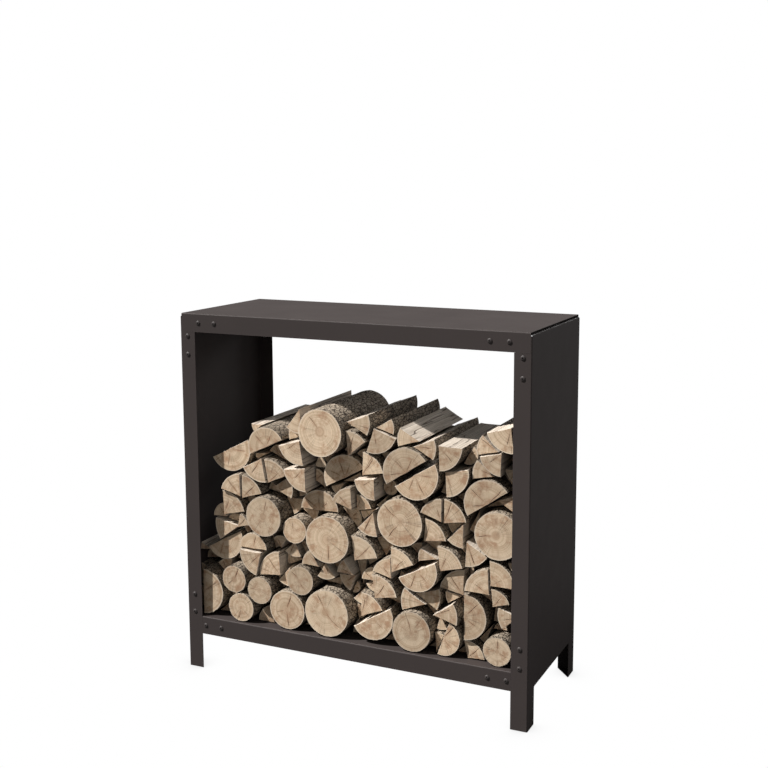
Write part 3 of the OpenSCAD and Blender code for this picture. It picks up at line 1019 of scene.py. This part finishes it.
        faces, skins = [], []
        wraps = spokes if closed else spokes - 1
        for i in range(wraps):
            for row, flip in ((0, False), (rows - 1, True)):
                for j in range(rings - 1):
                    ring = [at(row, i, j + 1), at(row, i + 1, j + 1)]
                    ring += [at(row, i, 0)] if j == 0 else [at(row, i + 1, j), at(row, i, j)]
                    faces.append(tuple(ring if flip else ring[::-1]))
                    skins.append(Skin.END)
            for k in range(rows - 1):
                faces.append((at(k, i, rings - 1), at(k + 1, i, rings - 1), at(k + 1, i + 1, rings - 1),
                              at(k, i + 1, rings - 1))[::-1])
                skins.append(Skin.BARK)
        if not closed:
            for spoke, flip in ((0, False), (spokes - 1, True)):
                for k in range(rows - 1):
                    for j in range(rings - 1):
                        ring = [at(k, spoke, j), at(k, spoke, j + 1), at(k + 1, spoke, j + 1),
                                at(k + 1, spoke, j)]
                        faces.append(tuple(ring if flip else ring[::-1]))
                        skins.append(Skin.SPLIT)
        keys = np.array(kept)
        placed = points[keys[:, 0], keys[:, 1], keys[:, 2]]
        on_end = (keys[:, 0] == 0) | (keys[:, 0] == rows - 1)
        shown = {name: np.where(on_end, grid[keys[:, 1], keys[:, 2]], 0.0) for name, grid in marks.items()}
        shown["reach"] = fractions[keys[:, 2]]
        return LogShell(placed, faces, [int(skin) for skin in skins], shown, (pith[0], 0.0, pith[1]))


@dataclass
class Firewood:
    """The stack: one piece for each course of logs."""

    effects: Effects
    courses: list[str]
    smooth_under: float = math.radians(38)

    def build(self) -> None:
        """Builds every course and stands it in for its CAD node."""
        finishes = [Bark().dress(self.effects), SplitFace().dress(self.effects),
                    EndGrain().dress(self.effects)]
        for course, node in enumerate(self.courses):
            shapes = [LogShape.read(points) for points in solids_of(node)]
            piece = self._course(node, course, shapes)
            for finish in finishes:
                piece.data.materials.append(finish)
            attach(piece, "root")
            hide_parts(node)
            LOG.info("%s: %d logs, %d rounds, %d faces", piece.name, len(shapes),
                     sum(shape.is_round for shape in shapes), len(piece.data.polygons))

    def _course(self, node: str, course: int, shapes: list[LogShape]) -> bpy.types.Object:
        """Builds the logs of one course as one mesh.

        Args:
            node: The CAD node that they stand for.
            course: The course's number from the bottom.
            shapes: Its logs.

        Returns:
            The piece.
        """
        shells, faces, pith, own, base = [], [], [], [], 0
        for number, shape in enumerate(shapes):
            seed = 1009 * (course + 1) + 37 * number
            shell = LogMaker(shape, seed).build()
            draw = np.random.default_rng(seed + 7)
            faces += [tuple(base + corner for corner in ring) for ring in shell.faces]
            pith += [shell.pith] * len(shell.faces)
            own += [(shape.radius, draw.random(), 2 * draw.random() - 1)] * len(shell.faces)
            base += len(shell.points)
            shells.append(shell)
        mesh = bpy.data.meshes.new(node)
        mesh.from_pydata(np.concatenate([shell.points for shell in shells]).tolist(), [], faces)
        mesh.polygons.foreach_set("material_index", [skin for shell in shells for skin in shell.skins])
        for name in ("reach", "crack", "halo"):
            layer = mesh.attributes.new(name, "FLOAT", "POINT")
            layer.data.foreach_set("value",
                                   np.concatenate([shell.marks[name] for shell in shells]).astype(np.float32))
        for name, rows in (("pith", pith), ("own", own)):
            layer = mesh.attributes.new(name, "FLOAT_VECTOR", "FACE")
            layer.data.foreach_set("vector", np.array(rows, dtype=np.float32).ravel())
        work = bmesh.new()
        work.from_mesh(mesh)
        bmesh.ops.recalc_face_normals(work, faces=work.faces)
        work.to_mesh(mesh)
        work.free()
        mesh.shade_smooth()
        mesh.set_sharp_from_angle(angle=self.smooth_under)
        return finished(node.replace("log_course", "split_logs_course"), mesh)


# ---------------------------------------------------------------------------
# Fasteners
# ---------------------------------------------------------------------------


class FastenerKind(Enum):
    """The two kinds of fastener in a corner joint, by the first word of their CAD nodes."""

    SCREW = "screws"
    NUT = "nuts"


class FastenerTree:
    """A geometry tree that sets one turned fastener on every point of a mesh."""

    SIZES = ("Head Diameter", "Head Height", "Shank Diameter", "Shank Length", "Hexagon Width",
             "Hexagon Depth",
             "Thread Pitch", "Thread Depth")

    def __init__(self, kind: FastenerKind) -> None:
        """Builds the tree.

        Args:
            kind: Screw or nut.
        """
        self.kind = kind
        self.tree = bpy.data.node_groups.new(f"{kind.value}_on_points", "GeometryNodeTree")
        face = self.tree.interface
        face.new_socket(name="Points", in_out="INPUT", socket_type="NodeSocketGeometry")
        for name in self.SIZES:
            face.new_socket(name=name, in_out="INPUT", socket_type="NodeSocketFloat")
        face.new_socket(name="Facing", in_out="INPUT", socket_type="NodeSocketVector")
        face.new_socket(name="Seed", in_out="INPUT", socket_type="NodeSocketInt")
        face.new_socket(name="Finish", in_out="INPUT", socket_type="NodeSocketMaterial")
        face.new_socket(name="Fasteners", in_out="OUTPUT", socket_type="NodeSocketGeometry")
        self.bench = Bench(self.tree)
        self.take = {s.name: s for s in self.bench.put("NodeGroupInput").outputs if s.name}
        one = self._screw() if kind is FastenerKind.SCREW else self._nut()
        self._set_out(one)

    def _turned(self, segments: int, profile: dict[str, list[tuple[float, float]]], thread: bool) -> Socket:
        """Turns a profile about Z, as a lathe does.

        Args:
            segments: Steps round the axis.
            profile: Four curves over the run of the profile: wide and narrow are shares of the
                head's and the shank's radius, up and down shares of the head's height and of
                the shank's length.
            thread: Whether the narrow part gets a thread.

        Returns:
            The closed shell.
        """
        bench, take = self.bench, self.take
        rows = 92 if thread else 26
        grid = bench.put("GeometryNodeMeshGrid", {"Size X": 1.0, "Size Y": 1.0, "Vertices X": segments + 1,
                                                  "Vertices Y": rows})
        place = bench.put("ShaderNodeSeparateXYZ",
                          {0: bench.put("GeometryNodeInputPosition").outputs[0]}).outputs
        turn = bench.times(bench.plus(place[0], 0.5), TURN)
        run = bench.plus(place[1], 0.5)
        shares = {}
        for name, stops in profile.items():
            node = bench.put("ShaderNodeFloatCurve", {"Value": run})
            curve = node.mapping.curves[0]
            for stop in stops[1:-1]:
                curve.points.new(*stop)
            curve.points[0].location, curve.points[-1].location = stops[0], stops[-1]
            for point in curve.points:
                point.handle_type = "VECTOR"
            node.mapping.update()
            shares[name] = node.outputs[0]
        radius = bench.plus(bench.times(shares["wide"], bench.math("DIVIDE", take["Head Diameter"], 2.0)),
                            bench.times(shares["narrow"], bench.math("DIVIDE", take["Shank Diameter"], 2.0)))
        height = bench.math("SUBTRACT", bench.times(shares["up"], take["Head Height"]),
                            bench.times(shares["down"], take["Shank Length"]))
        if thread:
            turns = bench.plus(bench.math("DIVIDE", height, take["Thread Pitch"]),
                               bench.math("DIVIDE", turn, TURN))
            groove = bench.times(bench.math("PINGPONG", turns, 0.5), 2.0)
            cut = bench.times(bench.times(groove, take["Thread Depth"]), shares["cut"])
            radius = bench.math("SUBTRACT", radius, cut)
        spot = bench.put("ShaderNodeCombineXYZ", {0: bench.times(radius, bench.math("COSINE", turn)),
                                                  1: bench.times(radius, bench.math("SINE", turn)),
                                                  2: height}).outputs[0]
        moved = bench.put("GeometryNodeSetPosition", {"Geometry": grid.outputs["Mesh"], "Position": spot})
        return bench.put("GeometryNodeMergeByDistance",
                         {"Geometry": moved.outputs[0], "Distance": 0.004 * MM}).outputs[0]

    def _hexagon(self, depth: Socket, middle: Socket) -> Socket:
        """Makes a hexagonal bar along Z.

        Args:
            depth: Its length.
            middle: The height of its middle.

        Returns:
            The bar.
        """
        bench = self.bench
        corner = bench.math("DIVIDE", self.take["Hexagon Width"], 2 * math.cos(math.pi / 6))
        bar = bench.put("GeometryNodeMeshCylinder", {"Vertices": 6, "Radius": corner, "Depth": depth})
        lift = bench.put("ShaderNodeCombineXYZ", {2: middle}).outputs[0]
        return bench.put("GeometryNodeTransform",
                         {"Geometry": bar.outputs["Mesh"], "Translation": lift}).outputs[0]

    def _boolean(self, operation: str, first: Socket, second: Socket) -> Socket:
        """Joins two closed shells.

        Args:
            operation: DIFFERENCE or INTERSECT.
            first: The shell worked on.
            second: The tool.

        Returns:
            The result.
        """
        node = self.bench.put("GeometryNodeMeshBoolean", operation=operation, solver="EXACT")
        if operation == "DIFFERENCE":
            self.bench.wire(first, node.inputs["Mesh 1"])
        else:
            self.bench.wire(first, node.inputs["Mesh 2"])
        self.bench.wire(second, node.inputs["Mesh 2"])
        return node.outputs[0]

    def _screw(self) -> Socket:
        """Makes a button-head screw with a hexagon socket and a cut thread.

        Returns:
            The screw, with the underside of its head at height 0.
        """
        dome = [(0.20 * i / 8, math.sin(0.5 * math.pi * i / 8)) for i in range(9)]
        fall = [(0.20 * i / 8, math.cos(0.5 * math.pi * i / 8) * 0.93 + 0.07) for i in range(9)]
        body = self._turned(28, {
            "wide": dome + [(0.215, 1.0), (0.23, 0.0), (1.0, 0.0)],
            "up": fall + [(0.215, 0.0), (1.0, 0.0)],
            "narrow": [(0.0, 0.0), (0.215, 0.0), (0.23, 1.0), (0.97, 1.0), (0.985, 0.8), (1.0, 0.0)],
            "down": [(0.0, 0.0), (0.23, 0.0), (0.97, 0.97), (0.985, 1.0), (1.0, 1.0)],
            "cut": [(0.0, 0.0), (0.45, 0.0), (0.50, 1.0), (0.95, 1.0), (0.97, 0.0), (1.0, 0.0)]}, thread=True)
        depth = self.take["Hexagon Depth"]
        return self._boolean("DIFFERENCE", body, self._hexagon(
            self.bench.times(depth, 2.0), self.take["Head Height"]))

    def _nut(self) -> Socket:
        """Makes a hexagon nut with chamfered corners and a bore.

        Returns:
            The nut, standing on height 0.
        """
        bench, take = self.bench, self.take
        lens = self._turned(48, {
            "wide": [(0.0, 0.0), (0.02, 0.0), (0.2, 0.87), (0.35, 1.0), (0.65, 1.0), (0.8, 0.87),
                     (0.98, 0.0), (1.0, 0.0)],
            "up": [(0.0, 1.0), (0.2, 1.0), (0.35, 0.86), (0.65, 0.14), (0.8, 0.0), (1.0, 0.0)],
            "narrow": [(0.0, 0.0), (1.0, 0.0)],
            "down": [(0.0, 0.0), (1.0, 0.0)]}, thread=False)
        middle = bench.times(take["Head Height"], 0.5)
        bar = self._hexagon(bench.times(take["Head Height"], 1.5), middle)
        blank = self._boolean("INTERSECT", lens, bar)
        drill = bench.put("GeometryNodeMeshCylinder", {
            "Vertices": 24, "Radius": bench.math("DIVIDE", take["Shank Diameter"], 2.0),
            "Depth": bench.times(take["Head Height"], 3.0)})
        return self._boolean("DIFFERENCE", blank, drill.outputs["Mesh"])

    def _set_out(self, one: Socket) -> None:
        """Sets the fastener on every point, each turned by its own draw, and ends the tree.

        Args:
            one: The fastener.
        """
        bench, take = self.bench, self.take
        upright = bench.put("FunctionNodeAlignRotationToVector", {"Vector": take["Facing"]}, axis="Z")
        spin = bench.put("FunctionNodeRandomValue", data_type="FLOAT")
        numbers = {s.name: s for s in spin.inputs if s.enabled}
        numbers["Min"].default_value, numbers["Max"].default_value = 0.0, TURN
        bench.wire(take["Seed"], numbers["Seed"])
        draw = next(s for s in spin.outputs if s.enabled)
        about = bench.put("FunctionNodeAxisAngleToRotation", {"Axis": (0.0, 0.0, 1.0), "Angle": draw})
        turned = bench.put("FunctionNodeRotateRotation",
                           {"Rotation": upright.outputs[0], "Rotate By": about.outputs[0]},
                           rotation_space="LOCAL")
        placed = bench.put("GeometryNodeInstanceOnPoints", {"Points": take["Points"], "Instance": one,
                                                            "Rotation": turned.outputs[0]})
        real = bench.put("GeometryNodeRealizeInstances", {"Geometry": placed.outputs[0]})
        dressed = bench.put("GeometryNodeSetMaterial",
                            {"Geometry": real.outputs[0], "Material": take["Finish"]})
        bench.put("NodeGroupOutput", {"Fasteners": dressed.outputs[0]})

    def make(self, name: str, points: list[Vector], sizes: dict[str, object]) -> bpy.types.Object:
        """Runs the tree on some points and keeps the result as a plain mesh.

        Args:
            name: The piece's name.
            points: Where the fasteners sit.
            sizes: The tree's inputs by name.

        Returns:
            The piece.
        """
        seats = bpy.data.meshes.new(f"{name}_seats")
        seats.from_pydata([tuple(point) for point in points], [], [])
        holder = finished(f"{name}_holder", seats)
        modifier = holder.modifiers.new("set_out", "NODES")
        modifier.node_group = self.tree
        for item in self.tree.interface.items_tree:
            if item.in_out == "INPUT" and item.name in sizes:
                modifier[item.identifier] = sizes[item.name]
        depsgraph = bpy.context.evaluated_depsgraph_get()
        mesh = bpy.data.meshes.new_from_object(holder.evaluated_get(depsgraph))
        holder.modifiers.remove(modifier)
        bpy.data.objects.remove(holder)
        work = bmesh.new()
        work.from_mesh(mesh)
        bmesh.ops.recalc_face_normals(work, faces=work.faces)
        work.to_mesh(mesh)
        work.free()
        mesh.shade_smooth()
        mesh.set_sharp_from_angle(angle=math.radians(32))
        return finished(name, mesh)


@dataclass
class Fasteners:
    """The screws and nuts of the eight corner joints."""

    effects: Effects
    corners: list[str]
    face_y: float
    socket_share: float = 4 / 6
    thread_pitch: float = 1.0 * MM
    thread_depth: float = 0.45 * MM

    def build(self) -> None:
        """Builds every set and stands it in for its CAD node."""
        finishes = {
            FastenerKind.SCREW: Plating((0.034, 0.027, 0.026), (0.060, 0.050, 0.048), 0.0, 0.58),
            FastenerKind.NUT: Plating((0.50, 0.51, 0.53), (0.68, 0.68, 0.70), 1.0, 0.32)}
        for kind in FastenerKind:
            tree = FastenerTree(kind)
            material = finishes[kind].dress(f"{kind.value}_finish", self.effects)
            for number, corner in enumerate(self.corners):
                node = f"{kind.value}_{corner}"
                piece = self._set(kind, tree, node, number, material)
                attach(piece, "root")
                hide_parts(node)
                LOG.info("%s: %d faces", piece.name, len(piece.data.polygons))

    def _set(self, kind: FastenerKind, tree: FastenerTree, node: str, number: int,
             material: bpy.types.Material) -> bpy.types.Object:
        """Builds one set of four from its CAD node.

        Args:
            kind: Screw or nut.
            tree: The geometry tree.
            node: The CAD node.
            number: The corner's number, which seeds the turns.
            material: The finish.

        Returns:
            The piece.
        """
        solids = solids_of(node)
        side = 1.0 if "rear" in node else -1.0
        low, high = solids[0].min(axis=0), solids[0].max(axis=0)
        inner, outer = sorted((low[1] * side, high[1] * side))
        wide = max(high[0] - low[0], high[2] - low[2])
        if kind is FastenerKind.SCREW:
            seat = self.face_y
            shank = 6 * MM
            sizes = {"Head Diameter": wide, "Head Height": outer - seat, "Shank Diameter": shank,
                     "Shank Length": seat - inner, "Hexagon Width": shank * self.socket_share,
                     "Hexagon Depth": (outer - seat) * 0.55}
        else:
            seat = inner
            across = min(high[0] - low[0], high[2] - low[2])
            sizes = {"Head Diameter": wide, "Head Height": outer - inner, "Shank Diameter": 6.2 * MM,
                     "Shank Length": 1.0 * MM, "Hexagon Width": across, "Hexagon Depth": outer - inner}
        sizes |= {"Thread Pitch": self.thread_pitch, "Thread Depth": self.thread_depth,
                  "Facing": (0.0, side, 0.0), "Seed": number + 3, "Finish": material}
        middles = [(solid.min(axis=0) + solid.max(axis=0)) / 2 for solid in solids]
        points = [Vector((middle[0], seat * side, middle[2])) for middle in middles]
        return tree.make(node.replace("screws", "button_screws").replace("nuts", "hexagon_nuts"), points,
                         sizes)


# ---------------------------------------------------------------------------
# Steelwork and studio
# ---------------------------------------------------------------------------


@dataclass
class Steelwork:
    """The folded panels, the corner plates and the foot plates, which keep their CAD meshes."""

    effects: Effects
    panels: list[str]
    plates: list[str]

    def build(self) -> None:
        """Dresses every panel and plate."""
        panel_coat = PowderCoat()
        plate_coat = PowderCoat(colour=(0.037, 0.0295, 0.0285), wear_width=1.0 * MM)
        for node, coat in [(n, panel_coat) for n in self.panels] + [(n, plate_coat) for n in self.plates]:
            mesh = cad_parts[node].data
            mesh.materials.clear()
            mesh.materials.append(coat.dress(node, self.effects))
            LOG.info("%s: coated", node)


@dataclass
class Studio:
    """White floor, soft lights and the camera."""

    floor_size: float = 30.0
    camera_place: Colour = (1.3540, -2.7748, 1.3640)
    camera_pitch: float = 0.1385
    camera_yaw: float = 0.4160
    lens: float = 54.17
    shift: tuple[float, float] = (-0.05, -0.06)
    backdrop_light: float = 0.22
    floor_tone: float = 0.12
    # floor_shade: the glow's strength inside the painted contact shadow
    floor_shade: float = 0.72

    def build(self) -> None:
        """Sets everything up."""
        self._camera()
        self._floor()
        self._world()
        self._sun("key_light", (1.4, 1.0, -2.1), 6.3, 1.4, (1.0, 0.985, 0.965))
        self._sun("rear_fill", (-0.30, -1.0, -0.40), 0.6, 16.0, (1.0, 1.0, 1.0))
        self._sun("side_fill", (-0.8, 0.6, -0.25), 0.2, 30.0, (1.0, 0.98, 0.96))
        view = bpy.context.scene.view_settings
        view.view_transform = "Standard"

    def _camera(self) -> None:
        """Places the camera."""
        camera = bpy.data.cameras.new("camera")
        camera.sensor_width = 36.0
        camera.lens = self.lens
        camera.shift_x, camera.shift_y = self.shift
        camera.clip_end = 100.0
        stand = bpy.data.objects.new("camera", camera)
        stand.location = self.camera_place
        stand.rotation_euler = (math.pi / 2 - self.camera_pitch, 0.0, self.camera_yaw)
        bpy.context.scene.collection.objects.link(stand)
        bpy.context.scene.camera = stand

    def _floor(self) -> None:
        """Lays a plain pale floor that the camera sees as an even white glow, with a painted contact shadow
        where things stand on it.
        """
        mesh = bpy.data.meshes.new("floor")
        half = self.floor_size / 2
        corners = [(-half, -half, 0.0), (half, -half, 0.0), (half, half, 0.0), (-half, half, 0.0)]
        mesh.from_pydata(corners, [], [(0, 1, 2, 3)])
        floor = finished("floor", mesh)
        material = bpy.data.materials.new("pale_floor")
        material.use_nodes = True
        material.node_tree.nodes.clear()
        bench = Bench(material.node_tree)
        paint = bench.put("ShaderNodeBsdfDiffuse", {"Color": (*[self.floor_tone] * 3, 1.0)})
        # painted contact shadow: occlusion dims the floor's glow round the feet
        open_sky = bench.put("ShaderNodeAmbientOcclusion", {"Distance": 0.10}, samples=12)
        shade = bench.span(open_sky.outputs["AO"], 0.0, 1.0, self.floor_shade, 1.0)
        glow = bench.put("ShaderNodeEmission", {"Color": (1.0, 1.0, 1.0, 1.0), "Strength": shade})
        seen = bench.put("ShaderNodeLightPath").outputs["Is Camera Ray"]
        both = bench.put("ShaderNodeMixShader", {0: seen, 1: paint.outputs[0], 2: glow.outputs[0]})
        bench.put("ShaderNodeOutputMaterial", {"Surface": both.outputs[0]})
        mesh.materials.append(material)

    def _world(self) -> None:
        """Hangs a white backdrop that lights the rack only softly."""
        world = bpy.data.worlds.new("studio")
        world.use_nodes = True
        world.node_tree.nodes.clear()
        bench = Bench(world.node_tree)
        seen = bench.put("ShaderNodeLightPath").outputs["Is Camera Ray"]
        strength = bench.plus(self.backdrop_light, bench.times(seen, 1.0 - self.backdrop_light))
        back = bench.put("ShaderNodeBackground", {"Color": (1.0, 1.0, 1.0, 1.0), "Strength": strength})
        bench.put("ShaderNodeOutputWorld", {"Surface": back.outputs[0]})
        bpy.context.scene.world = world

    def _sun(self, name: str, heading: Colour, strength: float, spread: float, colour: Colour) -> None:
        """Hangs a far light.

        Args:
            name: Its name.
            heading: The way its light travels.
            strength: Its strength.
            spread: The angle that it fills in the sky, in degrees.
            colour: Its colour.
        """
        light = bpy.data.lights.new(name, "SUN")
        light.energy, light.angle, light.color = strength, math.radians(spread), colour
        lamp = bpy.data.objects.new(name, light)
        lamp.rotation_euler = Vector(heading).to_track_quat("-Z", "Y").to_euler()
        bpy.context.scene.collection.objects.link(lamp)


def main() -> None:
    """Builds the rack, part by part."""
    logging.basicConfig(level=logging.INFO, format="%(name)s: %(message)s")
    names = sorted(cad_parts)
    corners = ["_".join(words) for words in itertools.product(("front", "rear"), ("top", "bottom"),
                                                              ("left", "right"))]
    effects = Effects()
    Studio().build()
    Steelwork(effects, [n for n in names if n.endswith("_panel")],
              [n for n in names if "_plate_" in n]).build()
    Fasteners(effects, corners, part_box("top_panel")[1][1]).build()
    Firewood(effects, [n for n in names if n.startswith("log_course")]).build()


if __name__ == "__main__":
    main()
